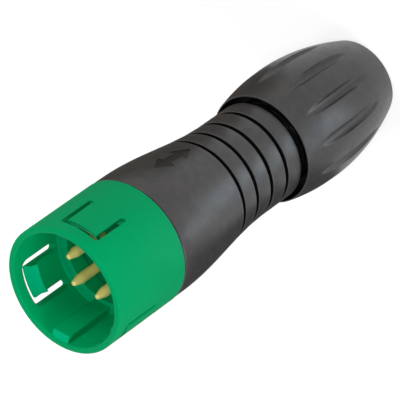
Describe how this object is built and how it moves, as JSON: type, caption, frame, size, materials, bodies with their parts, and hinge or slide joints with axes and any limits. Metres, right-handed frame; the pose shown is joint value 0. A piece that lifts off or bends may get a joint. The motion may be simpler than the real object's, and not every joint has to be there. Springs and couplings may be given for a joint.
{
  "type": "miniature circular connector",
  "caption": "Round cable plug: keyed sleeve with snap latches around contact pins, a housing with a grooved neck, and a fluted clamping nut with a cable hole.",
  "frame": {"origin": "centre of the clamping nut's rear face", "axes": "+Z along the plug's axis to the mating mouth, -Y through the first latch tongue, +Y through the key rib"},
  "size_m": [0.0154, 0.0154, 0.0545],
  "materials": {
    "green_plastic": "satin moulded",
    "insert_plastic": "satin moulded",
    "black_plastic": "satin moulded",
    "clamp_plastic": "matt moulded",
    "gold_plating": "gold plated",
    "seal_rubber": "matt"
  },
  "bodies": {
    "clamping_nut": {"clamping_nut": "black_plastic"},
    "clamp_cage": {"clamp_cage": "clamp_plastic"},
    "plug_body": {"latch_sleeve": "green_plastic", "contact_insert": "insert_plastic", "contact_pin_1": "gold_plating", "contact_pin_2": "gold_plating", "contact_pin_3": "gold_plating", "contact_pin_4": "gold_plating", "contact_pin_5": "gold_plating", "insert_spacer": "clamp_plastic", "sleeve_seal_ring": "seal_rubber", "housing": "black_plastic", "cable_seal": "seal_rubber"}
  },
  "joints": [
    {"name": "nut_turn", "type": "hinge", "parent": "clamping_nut", "child": "clamp_cage", "pos_m": [0, 0, 0], "axis": [0, 0, 1], "range_deg": [0, 3168]},
    {"name": "nut_travel", "type": "slide", "parent": "clamp_cage", "child": "plug_body", "axis": [0, 0, 1], "range_m": [0, 0.0088]}
  ],
  "couplings": [
    {"joint": "nut_turn", "follows": "nut_travel", "rad_per_m": 6283.2}
  ]
}
